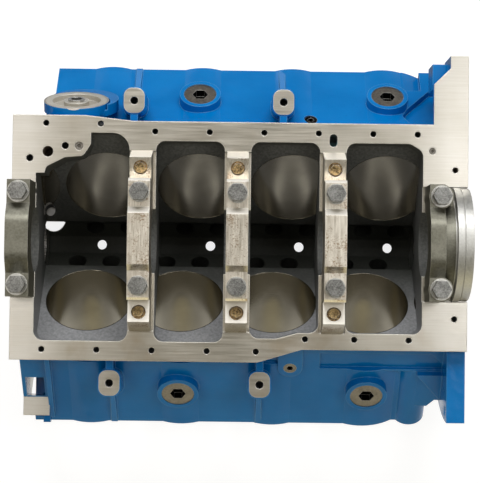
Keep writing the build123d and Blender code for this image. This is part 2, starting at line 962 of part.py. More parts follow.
def head_dowel_spots(side):
    """X and across of the two head dowels, at the outer bolts of both ends."""
    columns = head_bolt_columns(side)
    return [(columns[0], head_bolt_across), (columns[-1], head_bolt_across)]


def deck_drillings(side):
    """Head bolt holes, coolant holes and dowel seats in one deck."""
    holes = []
    for x in head_bolt_columns(side):
        for across in (-head_bolt_across, head_bolt_across):
            plane = bank_plane(side, deck_height - head_bolt_depth, across, x)
            holes.append(rod(plane, head_bolt_radius, head_bolt_depth))
    for x, across in head_dowel_spots(side):
        depth = head_dowel_length - head_dowel_proud
        holes.append(rod(bank_plane(side, deck_height - depth, across, x), head_dowel_radius, depth))
    for x in bore_positions(side):
        for shift in (-coolant_offset, coolant_offset):
            plane = bank_plane(side, deck_height - coolant_depth, -coolant_across, x + shift)
            holes.append(rod(plane, coolant_radius, coolant_depth))
    return holes


def rail_bolt_spots():
    """Centres of the sump bolts, left rail first."""
    spots = []
    for step in range(7):
        x = rail_bolt_front_x + step * rail_bolt_pitch
        spots.append((x, rail_wide_bolt_y if x < rail_wide_end_x else rail_bolt_y))
    spots.append((rail_bolt_rear_x, rail_bolt_y))
    spots += [(right_bolt_front_x + step * right_bolt_pitch, -right_bolt_y) for step in range(4)]
    spots += [(starter_bolt_front_x, -right_bolt_y)]
    spots += [(starter_bolt_front_x + step * starter_bolt_pitch, -starter_bolt_y) for step in (1, 2)]
    spots += [(starter_bolt_rear_x, -starter_bolt_y)]
    return spots


def rail_drillings():
    """Every hole that goes into the sump rail."""
    top = rail_height
    holes = [post(rail_bolt_radius, x, y, top - rail_bolt_depth, top) for x, y in rail_bolt_spots()]
    holes.append(post(pump_bolt_radius, pump_bolt_front_x, pump_bolt_front_y, top - rail_bolt_depth, top))
    holes.append(post(pump_bolt_radius, pump_bolt_rear_x, pump_bolt_rear_y, top - rail_bolt_depth, top))
    holes.append(post(pump_passage_radius, pump_passage_x, pump_passage_y, top - 2 * rail_bolt_depth, top))
    holes.append(post(pad_plug_radius, pad_plug_x, pad_plug_y, top - rail_bolt_depth, top))
    holes.append(post(rail_plug_radius, rail_plug_x, rail_plug_y, top - rail_bolt_depth, top))
    for side in (1, -1):
        y = side * rear_rail_hole_y
        holes.append(post(rear_rail_hole_radius, rear_rail_hole_x, y, top - rail_bolt_depth, top))
    slot = Pos(dipstick_x, dipstick_y, top) * SlotOverall(dipstick_length, dipstick_width, rotation=90)
    holes.append(extrude(slot, amount=-dipstick_depth))
    return holes


def main_fastener_spots():
    """X, land height and washer radius of the bolts along one side, front to rear."""
    spots = [(front_cap_x, end_cap_land_z, end_washer_radius)]
    spots += [(x, cap_land_z, washer_radius) for x in main_positions]
    return spots + [(rear_bolt_x, end_cap_land_z, end_washer_radius)]


def side_screw_plane(side, x):
    """Where a splayed side screw meets its pad on the cap, facing out of the block."""
    tilt = radians(splay_angle)
    return Plane(
        origin=(x, side * side_screw_y, cap_pad_z), x_dir=(1, 0, 0), z_dir=(0, -side * sin(tilt), cos(tilt))
    )


def cap_drillings():
    """Threaded holes in the webs for the cap bolts and the splayed screws."""
    holes = []
    depth = main_bolt_reach + hole_runout
    for side in (1, -1):
        for x, _, _ in main_fastener_spots():
            holes.append(post(main_bolt_radius + thread_clearance, x, side * main_bolt_y, -depth, 0))
        for x in main_positions:
            reach = cap_pad_z / cos(radians(splay_angle)) + side_screw_reach + hole_runout
            plane = side_screw_plane(side, x)
            holes.append(rod(plane.offset(-reach), side_screw_radius + thread_clearance, reach))
    return holes


def side_drillings():
    """Holes in the two sloping sides: engine mounts, core plugs and drains."""
    holes = []
    for side in (1, -1):
        for x in engine_mount_positions(side):
            foot_z = mount_boss_z - mount_hole_depth
            holes.append(post(mount_hole_radius, x, side * mount_boss_y, foot_z, mount_boss_z))
        for x in core_plug_positions(side):
            face = wall_plane(side, core_plug_along, deck_outer + core_boss_height, x)
            depth = core_plug_depth + core_plug_sunk
            holes.append(rod(face.offset(-depth), core_plug_radius + thread_clearance, depth))
    for plane in (right_drain_plane(), left_drain_plane()):
        holes.append(rod(plane.offset(-drain_plug_length), drain_plug_radius + thread_clearance, far / 10))
    return holes


def right_drain_plane():
    """The face of the drain plug's tongue on the starter side."""
    return wall_plane(-1, drain_boss_along, deck_outer + drain_boss_height, drain_boss_x)


def left_drain_plane():
    """The drain plug on the filter side, just clear of the rail."""
    return wall_plane(1, left_drain_along, deck_outer, left_drain_x)


def number_panel():
    """A shallow slanted panel on the starter side, where a casting number would stand."""
    outline = [
        (panel_front_x, panel_low),
        (panel_rear_x - panel_slant, panel_low),
        (panel_rear_x, panel_high),
        (panel_front_x, panel_high),
    ]
    panel = wall_prism(-1, outline, deck_outer - panel_depth, deck_outer + far / 10)
    return panel & block_between((-far, -far, -far), (rear_face_x - flange_thickness, 0, rail_height))


def filter_recess():
    """The ring-shaped groove of the oil filter's pad and the threaded hole of its nipple."""
    groove = rod(filter_plane(-filter_groove_depth), filter_groove_radius, filter_groove_depth)
    groove -= rod(filter_plane(-filter_groove_depth), filter_hub_radius, filter_groove_depth)
    depth = filter_nipple_length - filter_nipple_proud
    return [groove, rod(filter_plane(-depth), filter_nipple_radius + thread_clearance, depth)]


def valley_drains():
    """Oil drain holes through the valley floor and the distributor's well."""
    holes = []
    for x in [drain_front_x] + [x + bank_stagger for x in bore_positions(1)[1:]]:
        holes.append(post(drain_radius, x, 0, valley_floor_z - skin, tunnel_roof_z + skin))
    well_foot = well_foot_z - valley_floor_z
    well_mouth = end_rail_z - valley_floor_z
    holes.append(rod(well_plane(well_mouth - hole_runout), well_radius, well_foot - well_mouth + hole_runout))
    holes.append(rod(well_plane(well_foot - skin), pump_shaft_radius, far / 2))
    return holes


def front_drillings():
    """Coolant ports, gallery holes and cover bolt holes in the front face."""
    holes = []
    for side in (1, -1):
        holes.append(
            crank_rod(
                water_port_radius, front_face_x, front_face_x + front_wall, side * water_port_y, water_port_z
            )
        )
        holes.append(
            crank_rod(
                gallery_radius,
                front_face_x,
                front_face_x + gallery_plug_length * 1.5,
                side * gallery_y,
                gallery_z,
            )
        )
        end_x = front_face_x + front_bolt_depth
        for step in range(front_bolt_rows):
            z = front_bolt_low_z - step * front_bolt_pitch
            holes.append(crank_rod(front_bolt_radius, front_face_x, end_x, side * front_bolt_y, z))
    return holes


def rear_drillings():
    """Flywheel housing holes, dowel seats and gallery holes in the rear face."""
    holes = []
    inner_x = rear_face_x - flange_thickness
    for side in (1, -1):
        for angle in flange_bolt_angles():
            y, z = flange_spot(side, angle)
            holes.append(crank_rod(flange_bolt_radius, inner_x - hole_runout, rear_face_x, y, z))
        y, z = flange_dowel_spot(side)
        holes.append(crank_rod(flange_dowel_radius, rear_face_x - flange_dowel_length / 2, rear_face_x, y, z))
        holes.append(
            crank_rod(
                gallery_radius,
                rear_face_x - gallery_plug_length * 1.5,
                rear_face_x,
                side * gallery_y,
                gallery_z,
            )
        )
    return holes


def flange_dowel_spot(side):
    """Y and Z of a flywheel housing dowel, between the two upper bolts."""
    first, second, _ = flange_bolt_angles()
    return flange_spot(side, (first + second) / 2)


def engine_block():
    """The whole casting, machined."""
    body = raw_casting()
    cuts = crankcase_bays() + cap_seats() + crank_line_bores()
    for side in (1, -1):
        cuts += cylinder_bores(side)
        cuts += lifter_bores(side)
        cuts += deck_drillings(side)
    body = body - cuts
    holes = rail_drillings() + cap_drillings() + side_drillings()
    holes += filter_recess() + valley_drains() + front_drillings() + rear_drillings()
    holes.append(number_panel())
    holes += wing_notch()
    return body - holes


def cap_bore(x_from, x_to):
    """The bearing housing through a cap."""
    return crank_rod(main_bore_radius, x_from, x_to)


def cap_holes(x, land_z):
    """Clearance holes for the two upright bolts of a cap."""
    return [
        post(main_bolt_radius + bolt_clearance, x, side * main_bolt_y, 0, land_z) for side in (1, -1)
    ]


def centre_cap(x):
    """A steel cap with two upright bolts and two splayed side screws."""
    tilt = tan(radians(splay_angle))
    reach = register_half - register_clearance
    half = [
        (cap_crown_half, cap_crown_z),
        (cap_crown_half + cap_crown_z - cap_land_z, cap_land_z),
        (cap_land_half - cap_chamfer, cap_land_z),
        (cap_land_half, cap_land_z - cap_chamfer),
        (cap_land_half, cap_pad_z + (cap_land_half - side_screw_y) * tilt),
        (cap_pad_half, cap_pad_z + (cap_pad_half - side_screw_y) * tilt),
        (reach, cap_shoulder_z),
        (reach, 0.0),
    ]
    front_x = x - centre_cap_width / 2
    rear_x = x + centre_cap_width / 2
    cap = slab(both_sides(half), front_x, rear_x)
    cuts = [cap_bore(front_x, rear_x)] + cap_holes(x, cap_land_z)
    for side in (1, -1):
        plane = side_screw_plane(side, x)
        deep = cap_pad_z * 1.2
        cuts.append(rod(plane.offset(-deep), side_screw_radius + bolt_clearance, deep))
        cuts.append(rod(plane.offset(-side_head_sunk), side_head_radius + bolt_clearance, cap_crown_z))
    return cap - cuts


def end_cap_outline():
    """A rounded two-bolt cap, as half of its outline."""
    reach = end_register_half - register_clearance
    return [
        (end_cap_crown_half, end_cap_crown_z),
        (end_cap_shoulder_half, end_cap_land_z),
        (reach, end_cap_land_z),
        (reach, 0.0),
    ]


def front_cap():
    """The cast cap of the front main bearing."""
    front_x = front_cap_x - front_cap_width / 2
    rear_x = front_cap_x + front_cap_width / 2
    cap = slab(both_sides(end_cap_outline()), front_x, rear_x)
    crown = cap.edges().filter_by(Axis.X).group_by(Axis.Z)[-1]
    cap = fillet(crown, end_cap_round)
    return cap - [cap_bore(front_x, rear_x)] - cap_holes(front_cap_x, end_cap_land_z)


def rear_cap():
    """The rear cap: a two-bolt body, a round neck and the stepped ring of the crank seal."""
    front_x = rear_cap_front_x
    body_x = front_x + rear_cap_body
    cap = slab(both_sides(end_cap_outline()), front_x, body_x)
    crown = cap.edges().filter_by(Axis.X).group_by(Axis.Z)[-1]
    cap = fillet(crown, end_cap_round)
    for side in (1, -1):
        cap += post(rear_boss_radius, rear_bolt_x, side * main_bolt_y, 0, end_cap_land_z)
    cap += seal_housing(body_x)
    reach = end_register_half - register_clearance
    cap = cap & block_between((-far, -reach, 0), (rear_face_x, reach, far))
    pockets = []
    spot = end_washer_radius + bolt_clearance
    for side in (1, -1):
        pockets.append(post(spot, rear_bolt_x, side * main_bolt_y, end_cap_land_z, far))
    cuts = [cap_bore(front_x, rear_face_x)] + cap_holes(rear_bolt_x, end_cap_land_z) + pockets
    cuts.append(crank_rod(seal_bore_radius, rear_face_x - seal_bore_depth, rear_face_x))
    return cap - cuts


def seal_housing(neck_x):
    """The round neck behind the rear cap and the grooved ring that holds the crank seal."""
    ring_x = rear_face_x - seal_housing_width
    step_x = rear_face_x - seal_step_width
    groove_x = step_x - seal_groove_width
    housing = crank_rod(rear_neck_radius, neck_x - skin, ring_x)
    housing += crank_rod(seal_housing_radius, ring_x, groove_x)
    housing += crank_rod(seal_housing_radius - seal_groove_depth, groove_x, step_x)
    return housing + crank_rod(seal_housing_radius - seal_step, step_x, rear_face_x)


def main_bolt(x, side, land_z):
    """A hexagon bolt through a cap into the web, on its washer."""
    seat = Plane(origin=(x, side * main_bolt_y, land_z + washer_thickness))
    bolt = hex_bar(seat, main_head_flats, main_head_height)
    corner = main_head_flats / 2 / cos(radians(30))
    trim = seat * taper(corner + main_head_height, corner - main_head_chamfer, main_head_height)
    bolt = bolt & trim
    length = land_z + washer_thickness + main_bolt_reach
    return bolt + rod(seat.offset(-length), main_bolt_radius, length)


def bolt_washer(x, side, land_z, radius):
    """The hardened washer under a main bolt."""
    seat = Plane(origin=(x, side * main_bolt_y, land_z))
    hole = rod(seat, main_bolt_radius + bolt_clearance, washer_thickness)
    return rod(seat, radius, washer_thickness) - hole


def side_screw(x, side):
    """A splayed twelve-point flange screw that ties the cap's foot to the web."""
    seat = side_screw_plane(side, x).offset(-side_head_sunk)
    reach = cap_pad_z / cos(radians(splay_angle)) - side_head_sunk + side_screw_reach
    screw = rod(seat, side_head_radius, side_flange_height)
    screw += hex_bar(seat, side_head_flats, side_head_height)
    screw += hex_bar(seat, side_head_flats, side_head_height, turn=30.0)
    return screw + rod(seat.offset(-reach), side_screw_radius, reach)


def cam_bearing(x):
    """A plain camshaft bearing, pressed into its web."""
    outer = cam_housing_radius - cam_bearing_seat
    ring = crank_rod(outer, x - cam_bearing_width / 2, x + cam_bearing_width / 2, z=cam_axis_z)
    return ring - crank_rod(cam_bearing_radius, x - cam_bearing_width, x + cam_bearing_width, z=cam_axis_z)


def socket_plug(face, radius, length, flats, socket_depth):
    """A threaded plug that fills its hole up to a face, with a hexagon socket."""
    plug = rod(face.offset(-length), radius, length)
    return plug - hex_bar(face.offset(-socket_depth), flats, socket_depth + skin)


def hollow_dowel(plane, radius, length):
    """A hollow ring dowel on a plane."""
    return rod(plane, radius, length) - rod(plane, radius - dowel_wall, length)


def head_dowel(side, x, across):
    """A dowel that places a cylinder head."""
    start = bank_plane(side, deck_height + head_dowel_proud - head_dowel_length, across, x)
    return hollow_dowel(start, head_dowel_radius, head_dowel_length)


def flange_dowel(side):
    """A dowel that places the flywheel housing."""
    y, z = flange_dowel_spot(side)
    start = Plane(origin=(rear_face_x - flange_dowel_length / 2, y, z), x_dir=(0, 1, 0), z_dir=(1, 0, 0))
    return hollow_dowel(start, flange_dowel_radius, flange_dowel_length)


def filter_nipple():
    """The threaded tube that holds the oil filter."""
    start = filter_plane(filter_nipple_proud - filter_nipple_length)
    tube = rod(start, filter_nipple_radius, filter_nipple_length)
    return tube - rod(start, filter_nipple_bore, filter_nipple_length)


def gallery_plug(x, side):
    """A pressed plug that closes an oil gallery."""
    return crank_rod(gallery_radius, x, x + gallery_plug_length, side * gallery_y, gallery_z)


def camshaft_plug():
    """The pressed plug that closes the rear end of the camshaft housing."""
    start_x = rear_face_x - cam_plug_width - skin
    return crank_rod(cam_housing_radius, start_x, start_x + cam_plug_width, z=cam_axis_z)


def core_plug(side, x):
    """A screwed plug in a core boss, a little below the boss's face."""
    face = wall_plane(side, core_plug_along, deck_outer + core_boss_height - core_plug_sunk, x)
    return socket_plug(face, core_plug_radius, core_plug_depth, core_socket_flats, core_socket_depth)


def drain_plug(face):
    """The plug of a jacket drain."""
    return socket_plug(face, drain_plug_radius, drain_plug_length, drain_socket_flats, drain_socket_flats)


def rail_level_plug(x, y, radius):
    """A small plug that closes an oil passage in the rail."""
    face = Plane(origin=(x, y, rail_height - skin))
    return socket_plug(face, radius, rail_bolt_depth / 2, radius, radius)


def main_caps():
    """The five main bearing caps, by name."""
    caps = [front_cap()] + [centre_cap(x) for x in main_positions] + [rear_cap()]
    return {f"main_cap_{number}": cap for number, cap in enumerate(caps, start=1)}


def fasteners(side):
    """The bolts, washers and screws along one side of the caps, each kind as one group."""
    spots = main_fastener_spots()
    return {
        "main_bolts": [main_bolt(x, side, land) for x, land, _ in spots],
        "main_washers": [bolt_washer(x, side, land, radius) for x, land, radius in spots],
        "side_screws": [side_screw(x, side) for x in main_positions],
    }


def fittings(side):
    """The core plugs and head dowels of one bank, each kind as one group."""
    return {
        "core_plugs": [core_plug(side, x) for x in core_plug_positions(side)],
        "head_dowels": [head_dowel(side, x, across) for x, across in head_dowel_spots(side)],
    }


def end_fittings():
    """The bearings, dowels and plugs of the two end faces, each kind as one group."""
    rear_plug_x = rear_face_x - skin - gallery_plug_length
    return {
        "cam_bearings": [cam_bearing(x) for x, _, _ in main_fastener_spots()],
        "flange_dowels": [flange_dowel(side) for side in (1, -1)],
        "gallery_plugs_front": [gallery_plug(front_face_x + skin, side) for side in (1, -1)],
        "gallery_plugs_rear": [gallery_plug(rear_plug_x, side) for side in (1, -1)],
    }


def all_pieces():
    """Every piece of the block assembly, by name."""
    pieces = {"engine_block": engine_block()}
    pieces.update(main_caps())
    for name, side in (("left", 1), ("right", -1)):
        for kind, group in (fasteners(side) | fittings(side)).items():
            pieces[f"{kind}_{name}"] = Compound(children=group)
    for kind, group in end_fittings().items():
        pieces[kind] = Compound(children=group)
    pieces["camshaft_plug"] = camshaft_plug()
    pieces["filter_nipple"] = filter_nipple()
    pieces["jacket_drain_plug_left"] = drain_plug(left_drain_plane())
    pieces["jacket_drain_plug_right"] = drain_plug(right_drain_plane())
    pieces["pump_pad_plug"] = rail_level_plug(pad_plug_x, pad_plug_y, pad_plug_radius)
    pieces["rail_plug"] = rail_level_plug(rail_plug_x, rail_plug_y, rail_plug_radius)
    return pieces


for node_name, piece in all_pieces().items():
    export_step(piece, f"parts/{node_name}.step")
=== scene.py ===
# %% [markdown]
# # A bare V8 engine block, lying on its decks
#
# This lesson dresses a finished CAD model of an engine block. The block's shape is already made,
# so nothing is modelled again: every cell below is about the camera, the light and the finishes.
# On the real block one iron casting carries four finishes at once. Blue enamel covers the outside,
# the machined faces are bare, the crankcase inside is dark raw casting, and the bores are honed.
# The pieces fixed to it, from bearing caps to plugs, share a few plain metal finishes.

# %% Load the packed model
import json
from math import cos, radians, sin, sqrt

import bpy
from mathutils import Euler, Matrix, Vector


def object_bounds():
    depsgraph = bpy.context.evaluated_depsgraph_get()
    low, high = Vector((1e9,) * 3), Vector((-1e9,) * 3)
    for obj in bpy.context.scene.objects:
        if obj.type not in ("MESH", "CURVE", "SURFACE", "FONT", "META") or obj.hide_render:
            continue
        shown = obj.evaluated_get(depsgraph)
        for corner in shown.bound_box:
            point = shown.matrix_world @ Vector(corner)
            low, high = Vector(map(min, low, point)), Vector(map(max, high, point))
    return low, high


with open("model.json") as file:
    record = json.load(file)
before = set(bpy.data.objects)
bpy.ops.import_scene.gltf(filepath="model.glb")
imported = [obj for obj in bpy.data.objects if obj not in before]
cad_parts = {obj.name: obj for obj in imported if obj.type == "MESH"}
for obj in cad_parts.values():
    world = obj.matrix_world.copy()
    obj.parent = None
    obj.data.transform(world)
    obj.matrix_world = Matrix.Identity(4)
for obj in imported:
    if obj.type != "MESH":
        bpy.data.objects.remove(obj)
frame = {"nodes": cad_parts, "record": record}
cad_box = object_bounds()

MM = 0.001
record = frame["record"]
corners = [[round(v, 4) for v in corner] for corner in cad_box]
print(len(frame["nodes"]), "CAD nodes in a box of", corners)

# %% [markdown]
# ## The viewpoint
#
# The picture looks straight down on the sump side from about two metres, so its lines hardly
# converge. A camera could be placed by eye and nudged. This one was worked out from two
# spacings: the bearing caps, close to the camera, stand wider apart in the picture than the drain
# holes deep in the block. Both rows were taken to be one usual cylinder spacing apart, at assumed
# heights, which gives the distance and the focal length. The small tilt and turn follow from the
# slopes of edges and the rows of holes in the rail. The numbers below were then fitted to that
# rough mapping, so their many digits don't show how well the view is known. A long lens needs no
# shift, so none is used.

# %% The camera
SENSOR_MM = 36
LENS_MM = 125.948
CAMERA_PLACE = (0.000155, -0.0696, 1.97487)
CAMERA_TURN = (2.0411, -0.1222, 0.7194)

camera_data = bpy.data.cameras.new("camera")
camera_data.sensor_width = SENSOR_MM
camera_data.lens = LENS_MM
camera = bpy.data.objects.new("camera", camera_data)
camera.location = CAMERA_PLACE
camera.rotation_euler = Euler([radians(angle) for angle in CAMERA_TURN])
scene = bpy.context.scene
scene.collection.objects.link(camera)
scene.camera = camera
scene.view_settings.view_transform = "Standard"
print("camera", [round(v, 3) for v in camera.location], "lens", camera_data.lens)

# %% [markdown]
# ## Writing finishes as formulas
#
# A finish is a small program: it takes the place and the facing of a point on the surface and works
# out a colour, a roughness and a bump. It could be wired by hand in the shader editor, with a
# hundred boxes and threads. Here two small classes write the same boxes from formulas instead, so
# that a mask reads like the sentence it stands for. A Field is a number at each point of a surface,
# and sums, products and comparisons of fields become Math nodes. Masks are fields from 0 to 1, so
# "and" is a product, "or" is a maximum and "not" is one minus the mask.

# %% Fields and sheets
class Field:
    """A number that varies over a surface. Its sums and comparisons become Math nodes."""

    def __init__(self, sheet, socket):
        self.sheet = sheet
        self.socket = socket

    def __add__(self, other):
        return self.sheet.math("ADD", self, other)

    def __sub__(self, other):
        return self.sheet.math("SUBTRACT", self, other)

    def __mul__(self, other):
        return self.sheet.math("MULTIPLY", self, other)

    def __gt__(self, other):
        return self.sheet.math("GREATER_THAN", self, other)

    def __lt__(self, other):
        return self.sheet.math("LESS_THAN", self, other)

    def __and__(self, other):
        return self.sheet.math("MULTIPLY", self, other)

    def __or__(self, other):
        return self.sheet.math("MAXIMUM", self, other)

    def __invert__(self):
        return self.sheet.math("SUBTRACT", 1.0, self)

    def __abs__(self):
        return self.sheet.math("ABSOLUTE", self)


def between(field, low, high):
    """1 where the field lies between the two numbers, 0 elsewhere."""
    return (field > low) & (field < high)


class Sheet:
    """One material and the nodes on it, with short ways to add the kinds this lesson needs."""

    def __init__(self, name):
        self.material = bpy.data.materials.new(name)
        self.material.use_nodes = True
        self.nodes = self.material.node_tree.nodes
        self.links = self.material.node_tree.links
        self.shader = self.nodes["Principled BSDF"]
        place = self.nodes.new("ShaderNodeTexCoord").outputs["Object"]
        self.place = self.vector("SCALE", place, scale=1.0 / MM)
        self.x, self.y, self.z = self.split(self.place)
        geometry = self.nodes.new("ShaderNodeNewGeometry")
        self.facing = geometry.outputs["True Normal"]
        self.facing_x, self.facing_y, self.facing_z = self.split(self.facing)

    def feed(self, socket, value):
        """Gives a socket a constant, a field or another node's output."""
        if isinstance(value, Field):
            value = value.socket
        if isinstance(value, bpy.types.NodeSocket):
            self.links.new(value, socket)
        else:
            socket.default_value = value

    def math(self, operation, first, second=0.0):
        node = self.nodes.new("ShaderNodeMath")
        node.operation = operation
        self.feed(node.inputs[0], first)
        self.feed(node.inputs[1], second)
        return Field(self, node.outputs[0])

    def vector(self, operation, first, second=(0.0, 0.0, 0.0), scale=1.0):
        node = self.nodes.new("ShaderNodeVectorMath")
        node.operation = operation
        self.feed(node.inputs[0], first)
        self.feed(node.inputs[1], second)
        if operation == "SCALE":
            node.inputs["Scale"].default_value = scale
        return node.outputs["Vector"]

    def dot(self, first, second):
        node = self.nodes.new("ShaderNodeVectorMath")
        node.operation = "DOT_PRODUCT"
        self.feed(node.inputs[0], first)
        self.feed(node.inputs[1], second)
        return Field(self, node.outputs["Value"])

    def split(self, vector):
        node = self.nodes.new("ShaderNodeSeparateXYZ")
        self.feed(node.inputs[0], vector)
        return [Field(self, output) for output in node.outputs]

    def noise(self, grain, detail=2.0, stretch=(1.0, 1.0, 1.0), roughness=0.5):
        """A cloudy field around 0.5. The grain is the size of its clouds in millimetres."""
        node = self.nodes.new("ShaderNodeTexNoise")
        self.feed(node.inputs["Vector"], self.vector("MULTIPLY", self.place, stretch))
        node.inputs["Scale"].default_value = 1.0 / grain
        node.inputs["Detail"].default_value = detail
        node.inputs["Roughness"].default_value = roughness
        return Field(self, node.outputs["Fac"])

    def spread(self, field, low, high, start=0.0, end=1.0):
        """The field stretched so that low..high becomes start..end, and cut off outside."""
        node = self.nodes.new("ShaderNodeMapRange")
        self.feed(node.inputs["Value"], field)
        for name, value in (("From Min", low), ("From Max", high), ("To Min", start), ("To Max", end)):
            node.inputs[name].default_value = value
        return Field(self, node.outputs["Result"])

    def mix(self, share, first, second):
        """Two colours or numbers mixed by a field: 0 gives the first and 1 the second."""
        node = self.nodes.new("ShaderNodeMix")
        colours = any(self.is_colour(value) for value in (first, second))
        node.data_type = "RGBA" if colours else "FLOAT"
        painted_end_highlight = [socket for socket in node.inputs if socket.enabled and socket.name in "AB"]
        self.feed(node.inputs["Factor"], share)
        self.feed(painted_end_highlight[0], self.solid(first))
        self.feed(painted_end_highlight[1], self.solid(second))
        output = [socket for socket in node.outputs if socket.enabled][0]
        return output if colours else Field(self, output)

    @staticmethod
    def is_colour(value):
        if isinstance(value, bpy.types.NodeSocket):
            return value.type == "RGBA"
        return isinstance(value, tuple)

    @staticmethod
    def solid(value):
        return (*value, 1.0) if isinstance(value, tuple) and len(value) == 3 else value

    def edge(self, radius):
        """1 on the corners of the shape, 0 on its flats. It keeps the softened normal for the bump."""
        bevel = self.nodes.new("ShaderNodeBevel")
        bevel.samples = 4
        bevel.inputs["Radius"].default_value = radius * MM
        self.soft_normal = bevel.outputs["Normal"]
        return self.spread(self.dot(self.soft_normal, self.facing), 0.995, 0.9)

    def bump(self, height, millimetres):
        """The softened normal, roughened by a height field."""
        node = self.nodes.new("ShaderNodeBump")
        node.inputs["Strength"].default_value = 1.0
        node.inputs["Distance"].default_value = millimetres * MM
        self.feed(node.inputs["Height"], height)
        self.links.new(self.soft_normal, node.inputs["Normal"])
        return node.outputs["Normal"]

    def finish(self, **sockets):
        """Feeds the material's shader, by its sockets' names with spaces written as underlines."""
        for name, value in sockets.items():
            self.feed(self.shader.inputs[name.replace("_", " ")], self.solid(value))
        return self.material


print("a sheet can", ", ".join(name for name in vars(Sheet) if not name.startswith("_")))

# %% [markdown]
# ## Where the casting is machined
#
# A casting comes out of its mould rough all over, is painted, and is then cut flat where something
# is bolted to it. The cut faces could be picked by hand, but the record already lists them as
# mounts, each with a point and an axis. A point of the surface is machined when it lies in the
# plane of such a mount and faces the same way. A few cut faces carry no mount: the seats of the
# bearing caps, the ends of the valley and a small pad at the front. The filter's seat and the
# distributor's well are turned rather than flat, and the next cell finds them around their axes.

# %% Machined planes
UP = (0.0, 0.0, 1.0)
DOWN = (0.0, 0.0, -1.0)
CAP_SEAT_HEIGHT = 0.0
FRONT_PAD_HEIGHT = -93.0
VALLEY_END_DEPTH = 205.0
PLANE_TOLERANCE = 0.35
SAME_WAY = 0.99
HOLE_MARGIN = 0.3


def machined_planes():
    """Axis and distance from the origin, in millimetres, of every plane that a cutter made."""
    planes = set()
    for mount in record["mounts"]:
        if mount["kind"] in ("flat_face", "bolt_pattern"):
            axis = Vector(mount["axis"]).normalized()
            offset = axis.dot(Vector(mount["pos_m"])) / MM
            planes.add((tuple(round(v, 4) for v in axis), round(offset, 1)))
    unstated = {(UP, CAP_SEAT_HEIGHT), (UP, FRONT_PAD_HEIGHT), (DOWN, VALLEY_END_DEPTH)}
    return sorted(planes | unstated)


def machined(sheet):
    """1 where the surface lies in a machined plane and faces its way."""
    found = None
    for axis, offset in machined_planes():
        in_plane = abs(sheet.dot(sheet.place, axis) - offset) < PLANE_TOLERANCE
        here = in_plane & (sheet.dot(sheet.facing, axis) > SAME_WAY)
        found = here if found is None else found | here
    return found


def drilled(sheet, *patterns):
    """1 inside the holes of the named bolt patterns, each of which is a pair along the crank."""
    found = None
    for mount in record["mounts"]:
        if mount["name"] not in patterns:
            continue
        centre = Vector(mount["pos_m"]) / MM
        for shift in (-0.5, 0.5):
            off_x = sheet.x - (centre.x + shift * mount["dims"]["spacing_x_mm"])
            off_y = sheet.y - centre.y
            here = (off_x * off_x + off_y * off_y) < (mount["dims"]["hole_r_mm"] + HOLE_MARGIN) ** 2
            found = here if found is None else found | here
    return found


print(len(machined_planes()), "machined planes")

# %% [markdown]
# ## Inside, outside and bores
#
# The two banks lean 45 degrees each way, so their own directions are the handy ones: "along" runs
# from the crank to the deck and "across" is square to it. In them a cylinder is a plain circle.
# Enamel sits only on the outside: beyond the skirts and beyond the outer walls of the banks, and on
# the banks' end walls. Everything else that isn't machined or bored is raw casting. The numbers are
# places on the block in millimetres, read off the CAD, so they'd have to follow if it changed.

# %% Regions of the casting
ROOT_HALF = sqrt(0.5)
CYLINDER_PITCH = 111.25
CYLINDER_COUNT = 8
BANK_STAGGER = 11.1
BORE_LIMIT = 51.9
BORE_FOOT, DECK_EDGE = 86.0, 241.0
WELL_CENTRE = (-230.0, 31.4, -157.0)
WELL_LEAN = 9.3
WELL_LIMIT = 18.0
WELL_FOOT = -118.0
BELOW_RAIL_FACE = 6.6
FILTER_RING = 34.0
FILTER_LIMIT = 36.5
FILTER_DEPTH = 9.0
SKIRT = 133.5
STARTER_SIDE_X, STARTER_CUT = 50.0, 15.5
FILTER_SIDE_X, FILTER_STEP = -150.0, 3.0
BANK_WALL = 58.2
WING_X, WING_Y = -226.0, -150.0
FRONT_END_X = (-262.0, -215.0)
REAR_END_X = (205.0, 268.0)
REAR_WEB_X, REAR_WEB_ACROSS = 216.0, 20.0
BANK_END_FOOT = 99.0
VALLEY_WALL = -69.0


def bank_directions(sheet):
    """Fields along and across the nearer bank."""
    side_y = abs(sheet.y)
    return (side_y - sheet.z) * ROOT_HALF, (side_y + sheet.z) * ROOT_HALF


def honed(sheet):
    """1 on the walls of the bores, and on parts of the banks' end walls.

    The wave that repeats the bores runs on past the eight real ones, so the end walls carry
    curved patches of the honed finish where a next bore would be. It is a fault of this mask.
    """
    along, across = bank_directions(sheet)
    bank_x = sheet.x - sheet.math("SIGN", sheet.y) * BANK_STAGGER
    off_centre = sheet.math("PINGPONG", bank_x, CYLINDER_PITCH / 2) * -1.0 + CYLINDER_PITCH / 2
    radius = sheet.math("SQRT", off_centre * off_centre + across * across)
    return (radius < BORE_LIMIT) & between(along, BORE_FOOT, DECK_EDGE)


def leaning_well(sheet):
    """1 in the distributor's well and shaft hole, which lean towards the filter bank."""
    axis = (0.0, sin(radians(WELL_LEAN)), cos(radians(WELL_LEAN)))
    outwards = sheet.vector("SUBTRACT", sheet.place, WELL_CENTRE)
    height = sheet.dot(outwards, axis)
    reach = sheet.dot(outwards, outwards) - height * height
    return (reach < WELL_LIMIT ** 2) & (sheet.z < WELL_FOOT)


def pocket(sheet, x, y, half):
    """1 below the rail's face, in a square around a hole."""
    return (abs(sheet.x - x) < half) & (abs(sheet.y - y) < half) & (sheet.z < BELOW_RAIL_FACE)


